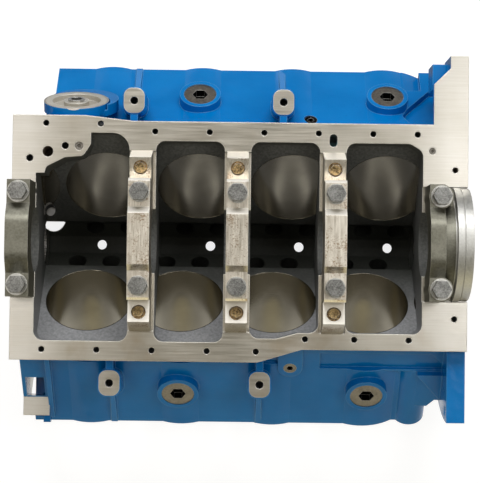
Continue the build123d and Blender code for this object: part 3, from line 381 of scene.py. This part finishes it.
def filter_seat(sheet):
    """1 on the turned ring that the oil filter's seal sits on, and in the groove inside it."""
    mount = [mount for mount in record["mounts"] if mount["name"] == "filter_pad"][0]
    axis = Vector(mount["axis"]).normalized()
    hub = Vector(mount["pos_m"]) / MM - Vector((FILTER_RING, 0.0, 0.0))
    outwards = sheet.vector("SUBTRACT", sheet.place, tuple(hub))
    height = sheet.dot(outwards, tuple(axis))
    reach = sheet.dot(outwards, outwards) - height * height
    return (reach < FILTER_LIMIT ** 2) & between(height, -FILTER_DEPTH, 1.0)


def enamelled(sheet):
    """1 outside the skirts and the banks, and on the banks' end walls."""
    along, across = bank_directions(sheet)
    starter_side = (sheet.y < 0.0) & (sheet.x > STARTER_SIDE_X)
    filter_side = (sheet.y > 0.0) & (sheet.x < FILTER_SIDE_X)
    skirt = starter_side * -STARTER_CUT + filter_side * FILTER_STEP + SKIRT
    wing = (sheet.y < WING_Y) & (sheet.x < WING_X)
    outside = ((abs(sheet.y) > skirt) & (across > BANK_WALL)) | wing

    beyond_foot = along > BANK_END_FOOT
    front_end = (sheet.facing_x < -0.6) & between(sheet.x, *FRONT_END_X) & beyond_foot
    rear_end = (sheet.facing_x > 0.6) & between(sheet.x, *REAR_END_X) & beyond_foot
    rear_web = (across > REAR_WEB_ACROSS) & (sheet.x > REAR_WEB_X) & beyond_foot
    bank_end = (front_end | rear_end | rear_web) & (across > VALLEY_WALL)

    engine_mounts = ("engine_mount_left", "engine_mount_right")
    front_sump_bolts = ("sump_bolts_left_1", "sump_bolts_left_2")
    holes = drilled(sheet, *engine_mounts, *front_sump_bolts)
    return (outside | bank_end) & ~holes


print("bores", CYLINDER_COUNT, "at a pitch of", CYLINDER_PITCH, "mm")

# %% [markdown]
# ## The casting's four finishes in one material
#
# Four materials on one mesh would need its faces sorted by hand. One material that mixes four sets
# of numbers by the masks does the same, and the masks drawn from the record follow the CAD. The
# enamel is a deep, glossy blue that runs a little thin here and there over the sand-cast skin. Raw
# iron is charcoal and coarse. The milled faces show fine lines and faint brown stains, and the
# honed bores are a warm grey. The edges are softened in the normal, as a cast corner and a wiped
# edge really are.
#
# Some differences of tone are painted light and shade, written into the colour: raw iron is paler
# on the starter's side as painted light and nearly black deep in the crankcase as painted shade,
# milled faces are paler at both ends as a painted highlight, and the enamel is lighter on its
# corners as a painted highlight. The foot of the oval slot is pale blue, which is partly blue paint
# and partly painted light. Corners of the milled faces are paler, partly as wear and partly as a
# painted highlight, and the insides of two rail holes are brown.

# %% The casting
# Most of a noise field lies between these two, so colours are spread over them.
MIDDLE = (0.3, 0.7)
BLUE_THIN, BLUE_FULL = (0.0, 0.15, 0.45), (0.0, 0.185, 0.53)
BLUE_PITS, BLUE_HIGHLIGHT_EDGE = (0.0, 0.11, 0.38), (0.12, 0.4, 0.72)
RAW_DARK, RAW_LIGHT = (0.075, 0.077, 0.075), (0.14, 0.143, 0.138)
PAINTED_LIGHT_RAW_DARK, PAINTED_LIGHT_RAW_LIGHT = (0.19, 0.195, 0.205), (0.3, 0.305, 0.315)
DEEP_SHADE_IRON = (0.028, 0.03, 0.025)
MILLED_DARK, MILLED_LIGHT = (0.44, 0.41, 0.35), (0.58, 0.55, 0.49)
END_HIGHLIGHT_DARK, END_HIGHLIGHT_LIGHT = (0.64, 0.61, 0.55), (0.76, 0.735, 0.69)
STAIN_BROWN, MILLED_WEAR_AND_HIGHLIGHT_EDGE = (0.4, 0.32, 0.22), (0.95, 0.94, 0.9)
BORE_DARK, BORE_LIGHT = (0.2, 0.183, 0.145), (0.29, 0.268, 0.215)
SLOT_PAINTED_LIGHT_BLUE, HOLE_BROWN = (0.5, 0.85, 0.9), (0.26, 0.21, 0.16)
PAINTED_LIGHT_FROM_Y, PAINTED_LIGHT_TO_Y = -40.0, -80.0
DEEP_FROM_Z, DEEP_TO_Z = -60.0, -125.0
STAIN_FROM_Y, STAIN_TO_Y = 60.0, -120.0
HIGHLIGHT_FROM_X, HIGHLIGHT_TO_X = 195.0, 245.0
SLOT_FOOT_Y = (115.0, 121.0)
OVAL_SLOT = (111.25, 119.8, 8.5)
PUMP_PASSAGE = (-222.1, 103.2, 7.0)
REAR_RAIL_HOLE = (253.8, 86.9, 4.5)
BARE_RAIL_HOLE = (-160.8, 136.4, 6.0)


def enamel_colour(sheet, skin, cloud, edge):
    """Blue that is thin in places, dark in the pits and lighter on the corners as a painted highlight.
    """
    blue = sheet.mix(sheet.spread(cloud, *MIDDLE), BLUE_THIN, BLUE_FULL)
    blue = sheet.mix(sheet.spread(skin, 0.62, 0.8, 0.0, 0.35), blue, BLUE_PITS)
    # Painted highlight: the blue is made lighter on the corners.
    return sheet.mix(edge * 0.6, blue, BLUE_HIGHLIGHT_EDGE)


def raw_colour(sheet, skin, swell):
    """Charcoal iron, paler on the starter's side as painted light, nearly black deep in the crankcase
    as painted shade, with a pale blue slot foot that is partly blue paint and partly painted light.
    """
    grain = sheet.spread(skin, *MIDDLE)
    # Painted light: raw iron is made paler on the starter's side, standing in for light that falls
    # there.
    painted_light_side = sheet.spread(sheet.y, PAINTED_LIGHT_FROM_Y, PAINTED_LIGHT_TO_Y)
    # Painted shade: raw iron is made nearly black deep in the crankcase, where shade falls.
    painted_deep_shade = sheet.spread(sheet.z + (swell - 0.5) * 40.0, DEEP_FROM_Z, DEEP_TO_Z)
    raw = sheet.mix(grain, RAW_DARK, RAW_LIGHT)
    raw = sheet.mix(painted_light_side, raw, sheet.mix(grain, PAINTED_LIGHT_RAW_DARK, PAINTED_LIGHT_RAW_LIGHT))
    raw = sheet.mix(painted_deep_shade, raw, DEEP_SHADE_IRON)
    # The foot of the oval slot is made pale blue: partly blue paint, partly painted light.
    painted_light_slot_foot = pocket(sheet, *OVAL_SLOT) & sheet.spread(sheet.y, *SLOT_FOOT_Y, 1.0, 0.0)
    raw = sheet.mix(painted_light_slot_foot, raw, SLOT_PAINTED_LIGHT_BLUE)
    # The insides of two rail holes are made brown, paler than the raw iron.
    brown_holes = pocket(sheet, *PUMP_PASSAGE) | pocket(sheet, *REAR_RAIL_HOLE)
    return sheet.mix(brown_holes, raw, HOLE_BROWN)


def milled_colour(sheet, lines, cloud, edge):
    """Warm bare iron with cutter lines and brown stains, paler at both ends as a painted highlight,
    and paler corners that are partly wear and partly a painted highlight.
    """
    cutter = sheet.spread(lines * 0.4 + cloud * 0.6, 0.35, 0.65)
    stain = sheet.spread(sheet.noise(45.0, detail=5.0, roughness=0.62), 0.5, 0.72)
    stain = stain * sheet.spread(sheet.y, STAIN_FROM_Y, STAIN_TO_Y, 0.15, 0.6)
    milled = sheet.mix(cutter, MILLED_DARK, MILLED_LIGHT)
    milled = sheet.mix(stain, milled, STAIN_BROWN)
    # Painted highlight: milled faces are made paler towards both ends of the block.
    painted_end_highlight = sheet.spread(abs(sheet.x), HIGHLIGHT_FROM_X, HIGHLIGHT_TO_X)
    milled = sheet.mix(painted_end_highlight, milled, sheet.mix(cutter, END_HIGHLIGHT_DARK, END_HIGHLIGHT_LIGHT))
    # Corners are made paler, partly as wear and partly as a painted highlight.
    return sheet.mix(edge * 0.8, milled, MILLED_WEAR_AND_HIGHLIGHT_EDGE)


def casting_finish():
    sheet = Sheet("casting")
    seat = filter_seat(sheet)
    cut = machined(sheet) | seat | leaning_well(sheet)
    bore = honed(sheet)
    bare = bore | cut
    outside = enamelled(sheet)
    enamel = outside & ~pocket(sheet, *BARE_RAIL_HOLE)
    edge = sheet.edge(1.8)
    skin = sheet.noise(3.0, detail=3.0)
    swell = sheet.noise(34.0, detail=2.0)
    cloud = sheet.noise(60.0, detail=4.0)
    lines = sheet.noise(1.6, detail=2.0, stretch=(0.03, 1.0, 1.0))

    blue = enamel_colour(sheet, skin, cloud, edge)
    colour = sheet.mix(enamel, raw_colour(sheet, skin, swell), blue)
    bare_bore = sheet.mix(sheet.spread(cloud, *MIDDLE), BORE_DARK, BORE_LIGHT)
    colour = sheet.mix(bore, colour, bare_bore)
    colour = sheet.mix(cut, colour, milled_colour(sheet, lines, cloud, edge))

    raw_sheen = sheet.spread(skin, *MIDDLE, 0.5, 0.68)
    enamel_sheen = sheet.spread(cloud, *MIDDLE, 0.14, 0.22)
    milled_sheen = sheet.spread(lines, *MIDDLE, 0.3, 0.42) + edge * 0.25
    roughness = sheet.mix(enamel, raw_sheen, enamel_sheen)
    roughness = sheet.mix(bore, roughness, 0.21)
    roughness = sheet.mix(cut, roughness, milled_sheen)

    cast_height = skin * sheet.mix(enamel, 1.0, 0.22) + swell * 1.4
    height = sheet.mix(bare, cast_height, lines * 0.05)
    return sheet.finish(
        Base_Color=colour,
        Roughness=roughness,
        Metallic=bare - seat * 0.6,
        Specular_IOR_Level=0.3,
        Normal=sheet.bump(height, 0.45),
    )


casting = casting_finish()
print("casting finish of", len(casting.node_tree.nodes), "nodes")

# %% [markdown]
# ## Steel and iron caps
#
# The three centre caps look sawn and milled from steel bar: bright, warm, with cross-wise cutter
# lines and a few rust freckles. The two end caps are castings with an olive-grey iron skin, and of
# them only the half ring behind the rear one is given a turned surface. One recipe makes both, from
# two pairs of colours. The centre caps' steps that face the filter bank are given a paler and
# rougher metal, which is a painted highlight of the key lamp's light. Corners of all these metals
# are paler, partly as wear and partly as a painted highlight. In the picture they are bright lines,
# which may be light on a plain chamfer, so this is a reading and no fact.

# %% Cap finishes
RUST, WORN_AND_HIGHLIGHT_EDGE = (0.3, 0.17, 0.07), (0.95, 0.93, 0.89)
STEP_HIGHLIGHT_METAL, SOCKET_SHADE = (0.93, 0.9, 0.84), (0.012, 0.011, 0.009)
TURNED_DARK, TURNED_LIGHT = (0.42, 0.42, 0.4), (0.72, 0.715, 0.69)
SEAL_RING_FRONT = 249.5


def metal_finish(
    name, dark, light, grain, roughness, bump, stretch=(1.0, 1.0, 1.0), freckles=0.0,
    edge_light=0.6, painted_highlight_steps=False, machined_part=None, painted_shade_part=None,
):
    """A bare metal with cloudy colour, fine grain, edges paler partly as wear and partly as a painted
    highlight and, if asked, rust freckles, a painted highlight on steps that face the key lamp, a
    turned part and a part in painted shade.
    """
    sheet = Sheet(name)
    edge = sheet.edge(0.9)
    marks = sheet.noise(grain, detail=3.0, stretch=stretch)
    cloud = sheet.noise(14.0, detail=4.0, roughness=0.6)
    colour = sheet.mix(sheet.spread(marks * 0.6 + cloud * 0.4, 0.35, 0.65), dark, light)
    gloss = sheet.spread(marks, *MIDDLE, roughness - 0.08, roughness + 0.08) + edge * 0.2
    if freckles:
        fine = sheet.noise(2.2, detail=3.0, roughness=0.7)
        spots = fine * 0.55 + sheet.noise(22.0, detail=2.0) * 0.45
        colour = sheet.mix(sheet.spread(spots, 0.55, 0.63, 0.0, freckles), colour, RUST)
    # Painted highlight: steps that face the key lamp get a paler, rougher metal.
    if painted_highlight_steps:
        step = (sheet.facing_y > 0.25) & (sheet.facing_z > 0.1)
        colour = sheet.mix(step, colour, STEP_HIGHLIGHT_METAL)
        gloss = sheet.math("MAXIMUM", gloss, step * 0.62)
    if machined_part:
        turned = sheet.mix(marks, TURNED_DARK, TURNED_LIGHT)
        colour = sheet.mix(machined_part(sheet), colour, turned)
    # Painted shade: the marked part, the inside of a plug's socket, is made near black.
    if painted_shade_part:
        colour = sheet.mix(painted_shade_part(sheet), colour, SOCKET_SHADE)
    # Corners are made paler, partly as wear and partly as a painted highlight.
    return sheet.finish(
        Base_Color=sheet.mix(edge * edge_light, colour, WORN_AND_HIGHLIGHT_EDGE),
        Roughness=gloss,
        Metallic=1.0,
        Normal=sheet.bump(marks, bump),
    )


def seal_ring(sheet):
    """1 on the half ring behind the rear cap that holds the crank's seal."""
    return sheet.x > SEAL_RING_FRONT


cap_steel = metal_finish(
    "cap_steel", (0.64, 0.58, 0.49), (0.88, 0.83, 0.74), 1.4, 0.36, 0.03,
    stretch=(1.0, 0.08, 1.0), freckles=0.7, edge_light=0.8, painted_highlight_steps=True,
)
cap_iron = metal_finish(
    "cap_iron", (0.16, 0.157, 0.125), (0.27, 0.263, 0.22), 2.4, 0.5, 0.12,
    edge_light=0.4, machined_part=seal_ring,
)
print("caps:", cap_steel.name, cap_iron.name)

# %% [markdown]
# ## Bolts, screws and plugs
#
# The main bolts look phosphated: matt, mottled, mid grey. The splayed screws look like yellow zinc,
# a dull brass with dark brown patches. The plugs are plain steel browned by heat and oil, with their
# sockets made near black as painted shade, and the ring dowels and the camshaft's bearings are
# bright. Apart from the painted shade in the sockets they differ in colour, grain and gloss alone,
# so each is one call of the same recipe.

# %% Fastener finishes
SOCKET_DEEPEST = 60.0
CORE_PLUG_ALONG, CORE_SOCKET_RIM = (155.0, 200.0), 78.5
DRAIN_PLUG_ALONG, DRAIN_SOCKET_RIM = (128.0, 153.0), 71.0


def plug_socket(sheet):
    """1 inside the sockets of the plugs on the banks, just below their outer faces."""
    along, across = bank_directions(sheet)
    core = between(along, *CORE_PLUG_ALONG) & between(across, SOCKET_DEEPEST, CORE_SOCKET_RIM)
    drain = between(along, *DRAIN_PLUG_ALONG) & between(across, SOCKET_DEEPEST, DRAIN_SOCKET_RIM)
    return core | drain


finishes = {
    "block": casting,
    "cap_steel": cap_steel,
    "cap_iron": cap_iron,
    "bolt": metal_finish(
        "bolt", (0.11, 0.11, 0.105), (0.36, 0.36, 0.35), 1.6, 0.42, 0.06, edge_light=0.35,
    ),
    "screw": metal_finish(
        "screw", (0.04, 0.022, 0.01), (0.85, 0.62, 0.32), 2.0, 0.36, 0.12,
    ),
    "bearing": metal_finish(
        "bearing", (0.42, 0.41, 0.4), (0.56, 0.55, 0.54), 2.0, 0.3, 0.02,
        stretch=(0.05, 1.0, 1.0),
    ),
    "plug": metal_finish(
        "plug", (0.15, 0.136, 0.118), (0.29, 0.268, 0.235), 2.6, 0.44, 0.06,
        painted_shade_part=plug_socket,
    ),
    "dowel": metal_finish(
        "dowel", (0.5, 0.49, 0.47), (0.68, 0.67, 0.65), 1.2, 0.28, 0.02,
        stretch=(0.06, 1.0, 1.0),
    ),
}
washer = metal_finish("washer", (0.4, 0.4, 0.38), (0.66, 0.65, 0.62), 1.8, 0.38, 0.03)
for subpart in record["subparts"]:
    is_washer = subpart["node"].startswith("main_washers")
    for slot in frame["nodes"][subpart["node"]].material_slots:
        slot.material = washer if is_washer else finishes[subpart["material_slot"]]
print(len(finishes), "finishes on", len(record["subparts"]), "nodes")

# %% [markdown]
# ## The white table
#
# The block was pictured on a plain white sweep. A strongly lit white floor would burn out and spill
# light on the block, so the white comes another way: rays from the camera see the floor almost
# white by itself, and only the rest of its shade follows the lamps, which keeps a soft shadow. To
# diffuse rays the floor is plain pale paper that sends some light up under the banks.
#
# Metal and gloss don't mirror a plain white floor here. What they see of it is graded by place on
# the floor: dim under the filter bank, bright in a patch beyond it and dim again farther out. On the
# starter's side it is white, with a greyer patch farther off. This was tuned until the bores and
# the blue came near the picture, so it stands for a dark room whose real form isn't known. A plain
# white floor is simpler and gives brighter, flatter reflections.

# %% Floor
FLOOR_SIZE = 8
FLOOR_GLOW = 0.84
DIM, UNDER_BLOCK, GREYER = 0.08, 0.16, 0.6
UNDER_EDGE, FAR_EDGE, SIDE_EDGE = (330.0, 460.0), (560.0, 740.0), (280.0, 420.0)
GREY_PATCH_Y, GREY_PATCH_EDGE = -700.0, (300.0, 500.0)
STARTER_SHIFT_X, STARTER_SHIFT_Y = -3000.0, 2000.0
WHITE, BLACK = (1.0, 1.0, 1.0), (0.0, 0.0, 0.0)


def mirrored_level(sheet):
    """How white the floor looks in metal and gloss, by place on the floor in millimetres.

    The shifts keep two gradients, which are meant for the filter's side, off the starter's side.
    """
    starter_side = sheet.y < 0.0
    far_end = sheet.spread(sheet.y, *FAR_EDGE, 1.0, DIM)
    near_end = sheet.spread(abs(sheet.y - GREY_PATCH_Y), *GREY_PATCH_EDGE, GREYER, 1.0)
    side_x = abs(sheet.x) + starter_side * STARTER_SHIFT_X
    sides = sheet.spread(side_x, *SIDE_EDGE, 1.0, DIM)
    under_y = sheet.y + starter_side * STARTER_SHIFT_Y
    under = sheet.spread(under_y, *UNDER_EDGE, UNDER_BLOCK, 1.0)
    level = sheet.math("MINIMUM", sheet.math("MINIMUM", far_end, near_end), sides)
    return sheet.math("MINIMUM", level, under)


def floor_finish():
    sheet = Sheet("floor_paper")
    rays = sheet.nodes.new("ShaderNodeLightPath").outputs
    seen = Field(sheet, rays["Is Camera Ray"])
    mirrored = sheet.math("MAXIMUM", rays["Is Glossy Ray"], rays["Is Transmission Ray"])
    white = seen | mirrored * mirrored_level(sheet)
    fibres = sheet.noise(9.0, detail=4.0)
    paper = sheet.mix(sheet.spread(fibres, 0.2, 0.8), (0.78, 0.78, 0.78), (0.84, 0.84, 0.84))
    shade = sheet.mix(white, BLACK, (0.3, 0.3, 0.3))
    return sheet.finish(
        Base_Color=sheet.mix(seen | mirrored, paper, shade),
        Roughness=0.9,
        Emission_Color=WHITE,
        Emission_Strength=white * FLOOR_GLOW,
    )


floor_height = cad_box[0][2]
bpy.ops.mesh.primitive_plane_add(size=FLOOR_SIZE, location=(0, 0, floor_height))
floor = bpy.context.object
floor.name = "floor"
floor.data.materials.append(floor_finish())
print("floor at", round(floor_height, 4), "m")

# %% [markdown]
# ## Studio light
#
# The blue of the bank at the top of the picture is strong and pure, while the bank at the bottom is
# greyer and duller. That suggests a big soft lamp high behind the top edge, and a pale wall low in
# front, which the glossy paint of the near bank mirrors. The faces that look straight up are warm,
# and brighter towards the flywheel end, so two small panels hang high, one out beyond each end of
# the block. That makes four soft panels, with a dim dome that is darker at the far side.

# %% Lamps
def panel(name, place, target, width, depth, power, colour=WHITE):
    """A soft rectangular lamp that looks at a target."""
    data = bpy.data.lights.new(name, "AREA")
    data.shape = "RECTANGLE"
    data.size = width
    data.size_y = depth
    data.energy = power
    data.color = colour
    lamp = bpy.data.objects.new(name, data)
    lamp.location = place
    lamp.rotation_euler = (Vector(target) - Vector(place)).to_track_quat("-Z", "Y").to_euler()
    scene.collection.objects.link(lamp)
    return lamp


lamps = [
    panel("key", (0.0, 1.75, 1.65), (0, 0, -0.1), 1.8, 0.9, 46),
    panel("top_left", (-1.1, 0.1, 2.1), (-0.1, 0, 0), 0.7, 1.2, 7.5, (1.0, 0.96, 0.91)),
    panel("top_right", (1.1, 0.2, 2.1), (0.1, 0, 0), 0.7, 1.2, 10.5, (1.0, 0.99, 0.97)),
    panel("wall", (0.0, -2.2, 0.35), (0, 0, -0.1), 3.0, 1.0, 8, (1.0, 0.88, 0.5)),
]
print(len(lamps), "lamps of", sum(lamp.data.energy for lamp in lamps), "W")

# %% [markdown]
# ## The dome
#
# A dome of even light would fill every shadow and grey the far bank. This one is white only to the
# camera. To everything else, reflections too, it is dim and slightly warm and fades from the near
# side to the far side, by the direction a ray leaves in, wherever the camera stands.

# %% World
NEAR_LIGHT, FAR_LIGHT = 0.27, 0.08
DOME_TINT = (1.0, 0.95, 0.78, 1.0)

world = bpy.data.worlds.new("studio")
world.use_nodes = True
scene.world = world
nodes, links = world.node_tree.nodes, world.node_tree.links
background = nodes["Background"]
is_camera = nodes.new("ShaderNodeLightPath").outputs["Is Camera Ray"]
direction = nodes.new("ShaderNodeTexCoord").outputs["Generated"]
parts = nodes.new("ShaderNodeSeparateXYZ")
links.new(direction, parts.inputs[0])

fade = nodes.new("ShaderNodeMapRange")
fade_range = {"From Min": -0.8, "From Max": 0.9, "To Min": NEAR_LIGHT, "To Max": FAR_LIGHT}
for name, value in fade_range.items():
    fade.inputs[name].default_value = value
links.new(parts.outputs["Y"], fade.inputs["Value"])

white = nodes.new("ShaderNodeMix")
links.new(is_camera, white.inputs["Factor"])
links.new(fade.outputs["Result"], white.inputs["A"])
white.inputs["B"].default_value = 1.0
links.new(white.outputs["Result"], background.inputs["Strength"])

tint = nodes.new("ShaderNodeMix")
tint.data_type = "RGBA"
links.new(is_camera, tint.inputs["Factor"])
seen_otherwise, seen_by_camera = [end for end in tint.inputs if end.enabled and end.name in "AB"]
seen_otherwise.default_value = DOME_TINT
seen_by_camera.default_value = (*WHITE, 1.0)
tinted = [output for output in tint.outputs if output.enabled][0]
links.new(tinted, background.inputs["Color"])
print("dome strength", NEAR_LIGHT, "to", FAR_LIGHT)
